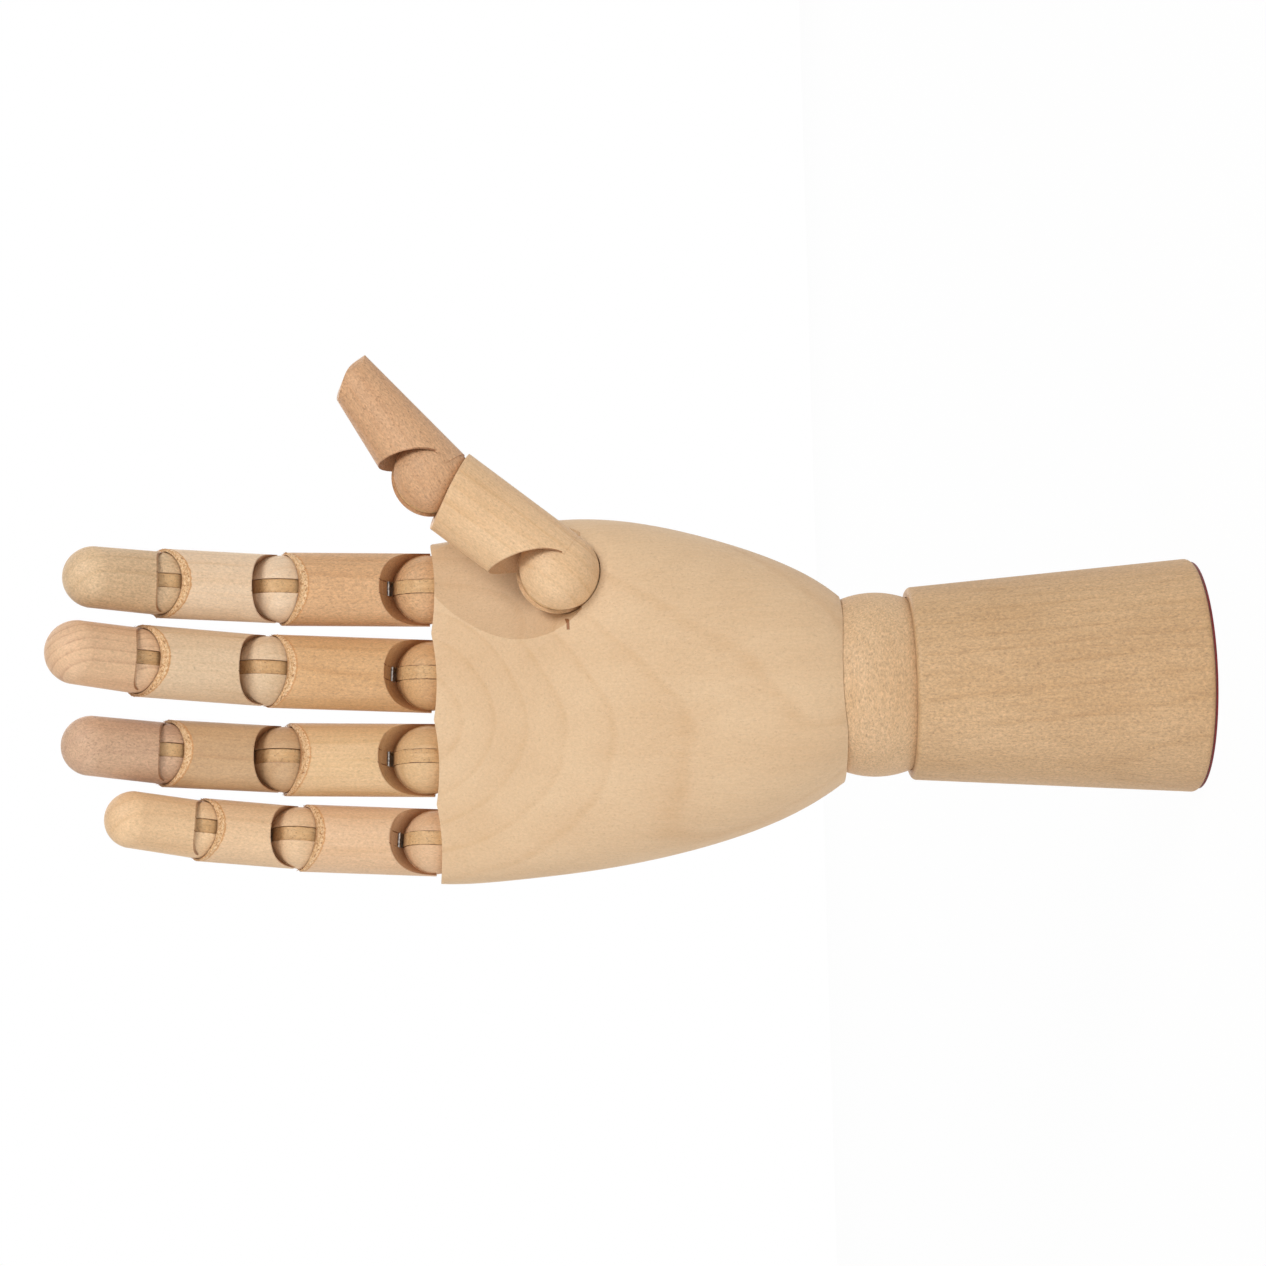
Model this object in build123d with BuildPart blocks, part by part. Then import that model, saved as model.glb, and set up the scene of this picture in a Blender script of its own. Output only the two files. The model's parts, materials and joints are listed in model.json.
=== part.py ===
from build123d import *
from math import asin, cos, degrees, pi, radians, sin, sqrt, tan
import os

# Jointed wooden artist's hand, a right hand that stands on the base of its forearm.
# +Z runs from the base to the fingers, the palm faces -Y and the thumb is on the +X side.
# The origin is the centre of the base pad's lower face. Sizes are in millimetres, angles in degrees.

# Forearm, with the bore for the draw spring
pad_thickness = 0.3
pad_radius = 17.0
forearm_base_radius = 17.5
forearm_top_radius = 14.4
forearm_height = 42.5
forearm_edge_round = 0.8
spring_bore_radius = 5.2
shoulder_height = 30.2
rod_hole_radius = 1.4

# Wrist ball, held between the forearm's cup and the palm's cup
ball_radius = 13.8
ball_height = 47.8
ball_cavity_radius = 4.9
ball_bore_slope = 29.0
running_gap = 0.15

# Draw spring, its washer and the two linked eyes at the ball's centre
spring_wire_radius = 0.5
spring_turns = 9
spring_pitch = 1.7
spring_radius = 4.1
washer_radius = 4.7
washer_thickness = 1.0
rod_radius = 0.7
rod_head_radius = 1.7
rod_head_thickness = 1.2
eye_wire_radius = 0.55
eye_radius = 2.2
eye_link_gap = 0.1
palm_shank_radius = 1.0
palm_shank_reach = 14.0

# Palm block: stations run from the wrist end to the finger end
palm_cup_rise = 5.1
palm_length = 60.7
palm_half_width = 26.4
palm_front_depth = 15.6
palm_back_depth = 13.2
palm_station_shares = (0.0, 0.12, 0.32, 0.55, 0.78, 1.0)
palm_width_shares = (0.530, 0.700, 0.868, 0.979, 1.0, 0.962)
palm_shift_shares = (-0.020, -0.012, -0.006, -0.003, -0.038, -0.092)
palm_front_shares = (0.800, 0.935, 0.994, 0.980, 0.720, 0.378)
palm_back_shares = (0.955, 1.0, 0.955, 0.850, 0.720, 0.629)
palm_square_powers = (2.0, 2.1, 2.35, 2.6, 3.0, 3.6)
palm_skew_shares = (0.0, 0.02, 0.08, 0.15, 0.10, 0.0)
section_points = 20
knuckle_scallop_depth = 0.6
finger_depth = 1.0

# Scooped bay in front of the palm for the thumb: it starts at a step and fades out sideways
thumb_step_height = 91.1
bay_radius = 25.5
bay_floor = 2.7
bay_side = 26.0
bay_rise = 16.9

# Fingers, from the thumb side: index, middle, ring, little
finger_names = ("index", "middle", "ring", "little")
knuckle_sides = (16.2, 3.2, -9.4, -21.8)
knuckle_stand_offs = (0.9, 0.8, 1.6, 0.9)
proximal_lengths = (22.0, 24.4, 21.6, 20.3)
middle_lengths = (18.3, 19.9, 18.0, 15.2)
distal_lengths = (15.5, 15.0, 16.2, 15.1)
proximal_radii = (5.5, 5.5, 5.5, 5.05)
middle_radii = (5.12, 5.3, 5.0, 4.7)
distal_radii = (4.65, 4.8, 4.55, 4.3)
fingertip_radii = (4.45, 4.6, 4.35, 4.15)
lean_degrees = (1.6, 2.9, 1.9, 3.6)
roll_degrees = (6.0, 8.5, 11.0, 14.0)
knuckle_bend_degrees = (4.0, 6.0, 1.0, 1.0)
middle_bend_degrees = (20.0, 20.0, 19.0, 17.0)
tip_bend_degrees = (18.0, 20.0, 18.0, 20.0)

# Thumb
thumb_side = 18.0
thumb_depth = 13.2
thumb_rise = 3.3
thumb_proximal_length = 22.9
thumb_distal_length = 20.2
thumb_proximal_radius = 6.05
thumb_distal_radius = 5.8
thumb_tip_radius = 3.45
thumb_foot = 0.9
thumb_tip_foot = -0.45
thumb_root_degrees = 25.0
thumb_cant_degrees = 15.0
thumb_base_bend_degrees = -15.0
thumb_tip_bend_degrees = -16.0
thumb_end_radius = 9.0
thumb_end_shift = 3.0
thumb_end_round = 4.6

# Knuckles: a slotted ball on each phalanx turns round a tongue in the piece before it
tongue_thickness = 2.05
tongue_side_gap = 0.05
tongue_round_gap = 0.12
hinge_pin_radius = 0.6
pin_turning_gap = 0.04
pin_seat_gap = 0.01
cup_gap = 0.15
stop_gap = 0.15
knuckle_stop_gap = 0.5
keeper_radius = 0.25
keeper_length = 3.6
cut_overrun = 2.0
rim_overrun = 1.0

# Shares of the radius of the phalanx, or of the ball, that carries the feature
palm_ball_share = 0.94
ball_share = 0.985
knuckle_relief_shares = (1.29, 0.98)
middle_relief_shares = (1.16, 0.755)
tip_relief_shares = (0.94, 0.355)
thumb_base_relief_shares = (1.35, 0.82)
thumb_tip_relief_shares = (1.13, 0.375)
tongue_height_share = 0.55
tongue_reach_share = 1.7
pin_length_share = 0.82
recessed_tongue_share = 0.9
slot_foot_share = 0.5
middle_rim_shares = (0.10, 0.214)
tip_rim_shares = (0.10, 0.17)
thumb_rim_shares = (-0.40, 0.085)
dome_share = 0.9
keeper_height_share = 1.06
keeper_front_share = 0.2
keeper_slot_share = 1.14

palm_base_height = ball_height + palm_cup_rise
palm_top = palm_base_height + palm_length
thumb_height = thumb_step_height + thumb_rise
bay_height = thumb_step_height + bay_rise
spring_length = spring_pitch * spring_turns
half_turn = 180
quarter_turn = 90

os.makedirs("parts", exist_ok=True)


def save(part, name):
    """Label a finished piece and write its STEP file."""
    part.label = name
    export_step(part, f"parts/{name}.step")


def side_of(frame):
    """Plane square to the hinge axis: x is the back of the hand, y runs along the finger."""
    return Plane(origin=frame.origin, x_dir=frame.y_dir, z_dir=frame.x_dir)


def front_of(frame):
    """Plane seen from the palm side: x is along the hinge axis, y runs along the finger."""
    return Plane(origin=frame.origin, x_dir=frame.x_dir, z_dir=-frame.y_dir)


def turned(frame, about_x=0, about_y=0, about_z=0):
    """Turn a frame about its own axes."""
    return Plane(frame.location * Rotation(about_x, about_y, about_z))


def bend(frame, angle):
    """Turn a hinge frame about its pin, towards the palm for a positive angle."""
    return turned(frame, about_x=angle)


def arc_radius(width, depth):
    """Radius of an arc from its chord and its depth."""
    return (width ** 2 / 4 + depth ** 2) / (2 * depth)


def arc_drop(radius, reach):
    """How far a circle falls away from its top at a distance from its middle."""
    return radius - sqrt(radius ** 2 - reach ** 2)


def rim_height(radius, rim_shares, across_share=1):
    """Height of a rim over the next pin, where across_share runs from 1 at the back to -1."""
    back_share, curve_share = rim_shares
    return radius * (back_share - curve_share * (1 - across_share) ** 2)


def finger_frames():
    """Root frame and the three phalanx frames of each finger."""
    frames = {}
    for i, name in enumerate(finger_names):
        pivot = (knuckle_sides[i], finger_depth, palm_top + knuckle_stand_offs[i])
        root = turned(turned(Plane(origin=pivot), about_y=lean_degrees[i]), about_z=roll_degrees[i])
        proximal = bend(root, knuckle_bend_degrees[i])
        middle = bend(proximal.offset(proximal_lengths[i]), middle_bend_degrees[i])
        distal = bend(middle.offset(middle_lengths[i]), tip_bend_degrees[i])
        frames[name] = (root, proximal, middle, distal)
    return frames


def thumb_frames():
    """Root frame and the two phalanx frames of the thumb, whose back faces +X."""
    upright = Plane(origin=(thumb_side, -thumb_depth, thumb_height), x_dir=(0, -1, 0), z_dir=(0, 0, 1))
    canted = turned(turned(upright, about_y=thumb_cant_degrees), about_z=thumb_cant_degrees)
    root = bend(canted, -thumb_root_degrees)
    proximal = bend(root, thumb_base_bend_degrees)
    distal = bend(proximal.offset(thumb_proximal_length), thumb_tip_bend_degrees)
    return root, proximal, distal


def make_tongue(name, root, ball, round_share):
    """Flat tongue with a round end, glued into the piece behind the pin and bored for it."""
    half_height = ball * tongue_height_share
    reach = ball * tongue_reach_share
    with BuildPart(root) as tongue:
        with BuildSketch(side_of(root)):
            Circle(ball * round_share)
            with Locations((0, -reach / 2)):
                Rectangle(2 * half_height, reach)
        extrude(amount=tongue_thickness / 2, both=True)
        Cylinder(
            hinge_pin_radius + pin_turning_gap,
            tongue_thickness + cut_overrun,
            rotation=(0, quarter_turn, 0),
            mode=Mode.SUBTRACT,
        )
    save(tongue.part, name)


def make_pin(name, frame, radius, length):
    """Plain steel pin along the hinge axis of a frame."""
    with BuildPart(frame) as pin:
        Cylinder(radius, length, rotation=(0, quarter_turn, 0))
    save(pin.part, name)


def cut_cup(place, end, ball):
    """Cut the spherical seat for the next ball and the mortise for its tongue."""
    with Locations(place):
        Sphere(ball + cup_gap, mode=Mode.SUBTRACT)
    with BuildSketch(side_of(end)) as mortise:
        with Locations((0, -ball * tongue_reach_share / 2)):
            Rectangle(2 * ball * tongue_height_share, ball * tongue_reach_share)
    extrude(mortise.sketch, amount=tongue_thickness / 2, both=True, mode=Mode.SUBTRACT)


def cut_rim(end, radius, rim_shares):
    """Round the end of a phalanx down towards the palm so that the next one can fold."""
    reach = 1 + rim_overrun / radius
    low, mid, high = (
        (across * radius, rim_height(radius, rim_shares, across))
        for across in (-reach, 0, reach)
    )
    top = rim_height(radius, rim_shares, reach) + radius
    with BuildSketch(side_of(end)) as waste:
        with BuildLine():
            ThreePointArc(low, mid, high)
            Polyline(high, (high[0], top), (low[0], top), low)
        make_face()
    extrude(waste.sketch, amount=radius + cut_overrun, both=True, mode=Mode.SUBTRACT)


def cut_slant(end, radius):
    """Round the end of the thumb down from its back towards its palm side."""
    low, mid, high = (
        (across, sqrt(thumb_end_radius ** 2 - (across - thumb_end_shift) ** 2) - thumb_end_radius)
        for across in (-radius - thumb_end_shift / 2, 0, radius + thumb_end_shift / 2)
    )
    with BuildSketch(side_of(end)) as waste:
        with BuildLine():
            ThreePointArc(low, mid, high)
            Polyline(high, (high[0], radius), (low[0], radius), low)
        make_face()
    extrude(waste.sketch, amount=radius + cut_overrun, both=True, mode=Mode.SUBTRACT)
    side, drop = radius + cut_overrun, arc_drop(thumb_end_round, radius)
    with BuildSketch(front_of(end)) as corners:
        with BuildLine():
            ThreePointArc((-radius, -drop), (0, 0), (radius, -drop))
            Polyline((radius, -drop), (side, -drop), (side, side), (-side, side), (-side, -drop))
            Line((-side, -drop), (-radius, -drop))
        make_face()
    extrude(corners.sketch, amount=side, both=True, mode=Mode.SUBTRACT)


def add_knuckle(frame, radius, ball, slot_radius, relief_shares):
    """Scoop the palm side, then leave a slotted ball, bored for the hinge pin."""
    relief_share, shift_share = relief_shares
    with Locations((0, -radius * shift_share, 0)):
        Sphere(radius * relief_share, mode=Mode.SUBTRACT)
    Sphere(ball)
    foot = ball * slot_foot_share
    depth = 2 * radius
    with BuildSketch(side_of(frame)) as slot:
        Circle(slot_radius)
        with Locations((0, foot - depth / 2)):
            Rectangle(2 * depth, depth)
    extrude(slot.sketch, amount=tongue_thickness / 2 + tongue_side_gap, both=True, mode=Mode.SUBTRACT)
    Cylinder(
        hinge_pin_radius + pin_seat_gap,
        2 * ball * pin_length_share + 2 * pin_seat_gap,
        rotation=(0, quarter_turn, 0),
        mode=Mode.SUBTRACT,
    )


def cut_keeper_seat(radius):
    """Bore the scoop's floor for the short wire that crosses the slot."""
    with Locations((0, -radius * keeper_front_share, radius * keeper_height_share)):
        Cylinder(
            keeper_radius + pin_seat_gap,
            keeper_length + 2 * pin_seat_gap,
            rotation=(0, quarter_turn, 0),
            mode=Mode.SUBTRACT,
        )


def make_phalanx(name, frame, radius, length, foot, balls, slot_radius, shares, keeper=False):
    """Turned phalanx with a knuckle at its pin and a cup for the next ball at its end."""
    ball, next_ball = balls
    relief_shares, rim_shares = shares
    end = frame.offset(length)
    rod_top = length + rim_height(radius, rim_shares) + radius / 2
    with BuildPart(frame) as phalanx:
        with Locations((0, 0, foot)):
            Cylinder(radius, rod_top - foot, align=(Align.CENTER, Align.CENTER, Align.MIN))
        add_knuckle(frame, radius, ball, slot_radius, relief_shares)
        if keeper:
            cut_keeper_seat(radius)
        cut_rim(end, radius, rim_shares)
        cut_cup((0, 0, length), end, next_ball)
    save(phalanx.part, name)


def make_fingertip(name, frame, radii, length, foot, ball, relief_shares, slanted=False):
    """Last phalanx: a tapered rod, domed on a finger and slanted towards the palm on the thumb."""
    radius, tip_radius = radii
    dome_height = tip_radius * dome_share
    dome_radius = arc_radius(2 * tip_radius, dome_height)
    dome_foot = degrees(asin((dome_radius - dome_height) / dome_radius))
    with BuildPart(frame) as fingertip:
        with BuildSketch(front_of(frame)):
            with BuildLine():
                if slanted:
                    Polyline((0, length), (0, foot), (radius, foot), (tip_radius, length), (0, length))
                else:
                    Polyline((0, length), (0, foot), (radius, foot), (tip_radius, length - dome_height))
                    CenterArc((0, length - dome_radius), dome_radius, dome_foot, quarter_turn - dome_foot)
            make_face()
        revolve(axis=Axis(frame.origin, frame.z_dir))
        add_knuckle(frame, radius, ball, ball + tongue_round_gap, relief_shares)
        if slanted:
            cut_slant(frame.offset(length), tip_radius)
    save(fingertip.part, name)


# Forearm: a turned cone with the cup for the ball on top and the spring's bore below
with BuildPart() as forearm:
    with BuildSketch(Plane.XZ):
        Polygon(
            (0, pad_thickness),
            (forearm_base_radius, pad_thickness),
            (forearm_top_radius, pad_thickness + forearm_height),
            (0, pad_thickness + forearm_height),
            align=None,
        )
    revolve(axis=Axis.Z)
    rims = forearm.edges().filter_by(GeomType.CIRCLE)
    fillet(rims, radius=forearm_edge_round)
    with Locations((0, 0, ball_height)):
        Sphere(ball_radius + running_gap, mode=Mode.SUBTRACT)
    with Locations((0, 0, pad_thickness)):
        Cylinder(
            spring_bore_radius,
            shoulder_height - pad_thickness,
            align=(Align.CENTER, Align.CENTER, Align.MIN),
            mode=Mode.SUBTRACT,
        )
        Cylinder(
            rod_hole_radius,
            forearm_height,
            align=(Align.CENTER, Align.CENTER, Align.MIN),
            mode=Mode.SUBTRACT,
        )
save(forearm.part, "forearm")

# Base pad: a thin round of felt glued under the forearm
with BuildPart() as base_pad:
    Cylinder(pad_radius, pad_thickness, align=(Align.CENTER, Align.CENTER, Align.MIN))
save(base_pad.part, "base_pad")

# Wrist ball, bored as an hourglass so that the linked eyes can swing inside it
with BuildPart(Plane.XY.offset(ball_height)) as wrist_ball:
    Sphere(ball_radius)
    Sphere(ball_cavity_radius, mode=Mode.SUBTRACT)
    mouth = ball_radius * tan(radians(ball_bore_slope))
    throat = rod_radius + running_gap
    for turn in (0, half_turn):
        Cone(
            throat,
            throat + mouth,
            ball_radius,
            rotation=(turn, 0, 0),
            align=(Align.CENTER, Align.CENTER, Align.MIN),
            mode=Mode.SUBTRACT,
        )
save(wrist_ball.part, "wrist_ball")

# Compression spring in the forearm, seated under the shoulder of the bore
spring_foot = shoulder_height - spring_length - 2 * spring_wire_radius
with BuildPart() as wrist_spring:
    with BuildLine(Plane.XY.offset(spring_foot + spring_wire_radius)) as coil:
        Helix(pitch=spring_pitch, height=spring_length, radius=spring_radius)
    with BuildSketch(Plane(origin=coil.line @ 0, z_dir=coil.line % 0)):
        Circle(spring_wire_radius)
    sweep(path=coil.line, is_frenet=True)
save(wrist_spring.part, "wrist_spring")

# Washer under the spring
washer_top = spring_foot
with BuildPart(Plane.XY.offset(washer_top - washer_thickness)) as spring_washer:
    Cylinder(washer_radius, washer_thickness, align=(Align.CENTER, Align.CENTER, Align.MIN))
    Cylinder(
        rod_radius + pin_seat_gap,
        washer_thickness,
        align=(Align.CENTER, Align.CENTER, Align.MIN),
        mode=Mode.SUBTRACT,
    )
save(spring_washer.part, "spring_washer")

# Draw rod: a head under the washer, a straight shank and an eye round the ball's centre
lower_eye_height = ball_height + eye_wire_radius + eye_link_gap - eye_radius
head_height = washer_top - washer_thickness - rod_head_thickness
shank_top = lower_eye_height - eye_radius
with BuildPart(Plane.XY.offset(head_height)) as draw_rod:
    Cylinder(rod_head_radius, rod_head_thickness, align=(Align.CENTER, Align.CENTER, Align.MIN))
    Cylinder(rod_radius, shank_top - head_height, align=(Align.CENTER, Align.CENTER, Align.MIN))
    with Locations((0, 0, lower_eye_height - head_height)):
        Torus(eye_radius, eye_wire_radius, rotation=(quarter_turn, 0, 0))
save(draw_rod.part, "draw_rod")

# Screw eye in the palm, linked through the draw rod's eye
upper_eye_height = 2 * ball_height - lower_eye_height
upper_shank_foot = upper_eye_height + eye_radius
palm_hole_top = palm_base_height + palm_shank_reach
with BuildPart(Plane.XY.offset(upper_shank_foot)) as palm_eye:
    Cylinder(
        palm_shank_radius,
        palm_hole_top - upper_shank_foot,
        align=(Align.CENTER, Align.CENTER, Align.MIN),
    )
    with Locations((0, 0, upper_eye_height - upper_shank_foot)):
        Torus(eye_radius, eye_wire_radius, rotation=(0, quarter_turn, 0))
save(palm_eye.part, "palm_eye")


def palm_section(station):
    """Points of one closed palm section: a squared oval, fuller on the thumb side in front."""
    half_width = palm_half_width * palm_width_shares[station]
    middle = palm_half_width * palm_shift_shares[station]
    front = palm_front_depth * palm_front_shares[station]
    back = palm_back_depth * palm_back_shares[station]
    power = palm_square_powers[station]
    points = []
    for step in range(section_points):
        turn = 2 * pi * step / section_points
        reach = (abs(cos(turn)) ** power + abs(sin(turn)) ** power) ** (-1 / power)
        side, rise = reach * cos(turn), reach * sin(turn)
        depth = back * rise if rise > 0 else front * rise * (1 + palm_skew_shares[station] * side)
        points.append((middle + half_width * side, depth))
    return points


# Palm: one shaped block with four finger sockets, the thumb's bay and the wrist's cup
fingers = finger_frames()
thumb_root, thumb_proximal, thumb_distal = thumb_frames()
thumb_ball = thumb_proximal_radius
finger_pitch = (knuckle_sides[0] - knuckle_sides[-1]) / (len(finger_names) - 1)
with BuildPart() as thumb_bay:
    with Locations((bay_side, -bay_floor - bay_radius, bay_height)):
        Sphere(bay_radius)
    split(bisect_by=Plane.XY.offset(thumb_step_height), keep=Keep.TOP)
with BuildPart() as palm:
    for station, share in enumerate(palm_station_shares):
        with BuildSketch(Plane.XY.offset(palm_base_height + palm_length * share)):
            with BuildLine():
                Spline(*palm_section(station), periodic=True)
            make_face()
    loft()
    with Locations((0, 0, ball_height)):
        Sphere(ball_radius + running_gap, mode=Mode.SUBTRACT)
    with Locations((0, 0, palm_base_height)):
        Cylinder(
            palm_shank_radius + pin_seat_gap,
            palm_shank_reach,
            align=(Align.CENTER, Align.CENTER, Align.MIN),
            mode=Mode.SUBTRACT,
        )
    add(thumb_bay.part, mode=Mode.SUBTRACT)
    scallop_radius = arc_radius(finger_pitch, knuckle_scallop_depth)
    for side in knuckle_sides:
        with Locations((side, 0, palm_top - knuckle_scallop_depth + scallop_radius)):
            Cylinder(
                scallop_radius,
                palm_length,
                rotation=(quarter_turn, 0, 0),
                mode=Mode.SUBTRACT,
            )
    for name, radius in zip(finger_names, proximal_radii):
        cut_cup(fingers[name][0], fingers[name][0], radius * palm_ball_share)
    cut_cup(thumb_root, thumb_root, thumb_ball)
save(palm.part, "palm")

# Fingers: three phalanges each, with a tongue and a pin at every knuckle
for i, name in enumerate(finger_names):
    root, proximal, middle, distal = fingers[name]
    proximal_radius, middle_radius, distal_radius = proximal_radii[i], middle_radii[i], distal_radii[i]
    palm_ball, middle_ball, tip_ball = (
        proximal_radius * palm_ball_share,
        middle_radius * ball_share,
        distal_radius * ball_share,
    )
    make_tongue(f"{name}_knuckle_tongue", root, palm_ball, 1)
    proximal_end = proximal.offset(proximal_lengths[i])
    middle_end = middle.offset(middle_lengths[i])
    make_tongue(f"{name}_middle_tongue", proximal_end, middle_ball, recessed_tongue_share)
    make_tongue(f"{name}_tip_tongue", middle_end, tip_ball, recessed_tongue_share)
    make_phalanx(
        f"{name}_proximal",
        proximal,
        proximal_radius,
        proximal_lengths[i],
        knuckle_stop_gap - knuckle_stand_offs[i],
        (palm_ball, middle_ball),
        proximal_radius * keeper_slot_share,
        (knuckle_relief_shares, middle_rim_shares),
        keeper=True,
    )
    make_phalanx(
        f"{name}_middle",
        middle,
        middle_radius,
        middle_lengths[i],
        rim_height(proximal_radius, middle_rim_shares) + stop_gap,
        (middle_ball, tip_ball),
        middle_ball + tongue_round_gap,
        (middle_relief_shares, tip_rim_shares),
    )
    make_fingertip(
        f"{name}_distal",
        distal,
        (distal_radius, fingertip_radii[i]),
        distal_lengths[i],
        rim_height(middle_radius, tip_rim_shares) + stop_gap,
        tip_ball,
        tip_relief_shares,
    )
    make_pin(f"{name}_knuckle_pin", proximal, hinge_pin_radius, 2 * palm_ball * pin_length_share)
    make_pin(f"{name}_middle_pin", middle, hinge_pin_radius, 2 * middle_ball * pin_length_share)
    make_pin(f"{name}_tip_pin", distal, hinge_pin_radius, 2 * tip_ball * pin_length_share)
    keeper_spot = (0, -proximal_radius * keeper_front_share, proximal_radius * keeper_height_share)
    keeper_frame = Plane(proximal.location * Location(keeper_spot))
    make_pin(f"{name}_keeper", keeper_frame, keeper_radius, keeper_length)

# Thumb: two phalanges that swing across the front of the palm
thumb_tip_ball = thumb_distal_radius * ball_share
make_tongue("thumb_root_tongue", thumb_root, thumb_ball, recessed_tongue_share)
make_tongue(
    "thumb_tip_tongue",
    thumb_proximal.offset(thumb_proximal_length),
    thumb_tip_ball,
    recessed_tongue_share,
)
make_phalanx(
    "thumb_proximal",
    thumb_proximal,
    thumb_proximal_radius,
    thumb_proximal_length,
    thumb_foot,
    (thumb_ball, thumb_tip_ball),
    thumb_ball + tongue_round_gap,
    (thumb_base_relief_shares, thumb_rim_shares),
)
make_fingertip(
    "thumb_distal",
    thumb_distal,
    (thumb_distal_radius, thumb_tip_radius),
    thumb_distal_length,
    thumb_tip_foot,
    thumb_tip_ball,
    thumb_tip_relief_shares,
    slanted=True,
)
make_pin("thumb_root_pin", thumb_proximal, hinge_pin_radius, 2 * thumb_ball * pin_length_share)
make_pin("thumb_tip_pin", thumb_distal, hinge_pin_radius, 2 * thumb_tip_ball * pin_length_share)
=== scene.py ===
"""Wooden artist's hand: wood, steel and felt finishes, torn fibres and the studio."""

from __future__ import annotations

import json
import logging
import math
import random
from dataclasses import dataclass, field, replace
from enum import Enum

import bpy
from mathutils import Matrix, Vector


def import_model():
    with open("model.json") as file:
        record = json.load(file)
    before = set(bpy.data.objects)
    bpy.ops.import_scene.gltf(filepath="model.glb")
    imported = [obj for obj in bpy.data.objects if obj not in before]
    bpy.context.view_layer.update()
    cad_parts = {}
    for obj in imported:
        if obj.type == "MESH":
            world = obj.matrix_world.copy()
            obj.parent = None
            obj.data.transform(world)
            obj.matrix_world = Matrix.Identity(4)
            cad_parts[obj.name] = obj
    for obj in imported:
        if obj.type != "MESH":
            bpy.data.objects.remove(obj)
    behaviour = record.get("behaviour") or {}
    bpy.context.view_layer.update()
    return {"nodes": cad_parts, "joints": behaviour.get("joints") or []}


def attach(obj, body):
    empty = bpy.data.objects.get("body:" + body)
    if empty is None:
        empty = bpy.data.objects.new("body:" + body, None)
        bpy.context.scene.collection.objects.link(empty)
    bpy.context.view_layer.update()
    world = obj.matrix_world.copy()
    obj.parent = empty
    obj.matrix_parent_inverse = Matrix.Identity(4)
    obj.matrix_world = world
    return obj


MM = 0.001
SRGB_KNEE = 0.04045
SRGB_SLOPE = 12.92
SRGB_LIFT = 0.055
SRGB_POWER = 2.4
log = logging.getLogger("wooden_hand")


def linear(code: str) -> tuple[float, float, float, float]:
    """Turn an sRGB hex colour into linear light.

    Args:
        code: colour such as "#e1c19b".

    Returns:
        Red, green, blue and alpha, each from 0 to 1.
    """
    parts = [int(code[i : i + 2], 16) / 255 for i in (1, 3, 5)]
    red, green, blue = (
        c / SRGB_SLOPE if c <= SRGB_KNEE else ((c + SRGB_LIFT) / (1 + SRGB_LIFT)) ** SRGB_POWER
        for c in parts
    )
    return red, green, blue, 1.0


def wire(
    tree: bpy.types.NodeTree,
    kind: str,
    inputs: dict | None = None,
    out: int | str = 0,
    stops: tuple = (),
    **settings,
) -> bpy.types.NodeSocket:
    """Add one node with its settings and links.

    Args:
        tree: node tree that gets the node.
        kind: node type, such as "ShaderNodeMath".
        inputs: socket name or number to a value, or to the socket that feeds it.
        out: name or number of the output that is wanted.
        stops: positions and colours of a colour ramp.
        settings: the node's own properties.

    Returns:
        The wanted output socket.
    """
    made = tree.nodes.new(kind)
    for key, value in settings.items():
        setattr(made, key, value)
    if stops:
        ramp = made.color_ramp.elements
        while len(ramp) < len(stops):
            ramp.new(0.5)
        for element, (place, shade) in zip(ramp, stops):
            element.position = place
            element.color = shade if isinstance(shade, tuple) else (shade, shade, shade, 1.0)
    for socket, value in (inputs or {}).items():
        if isinstance(value, bpy.types.NodeSocket):
            tree.links.new(value, made.inputs[socket])
        else:
            made.inputs[socket].default_value = value
    return made.outputs[out] if made.outputs else None


def fresh_material(name: str) -> tuple[bpy.types.Material, bpy.types.NodeTree]:
    """Make an empty node material.

    Args:
        name: the material's name.

    Returns:
        The material and its node tree.
    """
    material = bpy.data.materials.new(name)
    material.use_nodes = True
    material.node_tree.nodes.clear()
    return material, material.node_tree


def dress(piece: bpy.types.Object, material: bpy.types.Material) -> None:
    """Give every slot of a piece one material.

    Args:
        piece: CAD node or modelled piece.
        material: the finish.
    """
    if not piece.material_slots:
        piece.data.materials.append(material)
    for place in piece.material_slots:
        place.material = material
    log.info("dressed %s in %s", piece.name, material.name)


@dataclass(frozen=True)
class Bone:
    """Frame of one phalanx: x along its pin, y to the back of the hand, z along the wood."""

    origin: Vector
    across: Vector
    along: Vector
    length: float

    @property
    def back(self) -> Vector:
        """Direction of the back of the hand."""
        return self.along.cross(self.across)

    @property
    def matrix(self) -> Matrix:
        """Matrix that carries the phalanx's own frame into the object's frame."""
        turn = Matrix((self.across, self.back, self.along)).transposed().to_4x4()
        return Matrix.Translation(self.origin) @ turn


@dataclass(frozen=True)
class Grain:
    """How a piece lay in its blank: matrix with the fibres along z, the pith in mm, a seed."""

    place: Matrix
    pith: tuple[float, float] = (14.0, 22.0)
    seed: float = 0.0


class Zone(Enum):
    """Marks on a wooden piece: none, torn rim and scoop (both with painted shade), painted shade in
    the scoop, seams, or the painted shade of the palm's slit.
    """

    PLAIN = "plain"
    RIM = "rim"
    TIP = "tip"
    TONGUE = "tongue"
    PALM = "palm"


@dataclass(frozen=True)
class Pattern:
    """Noise in wood: features per mm across and along the grain, octaves and their fineness."""

    scale: tuple[float, float, float]
    detail: float = 2.0
    roughness: float = 0.5


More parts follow.
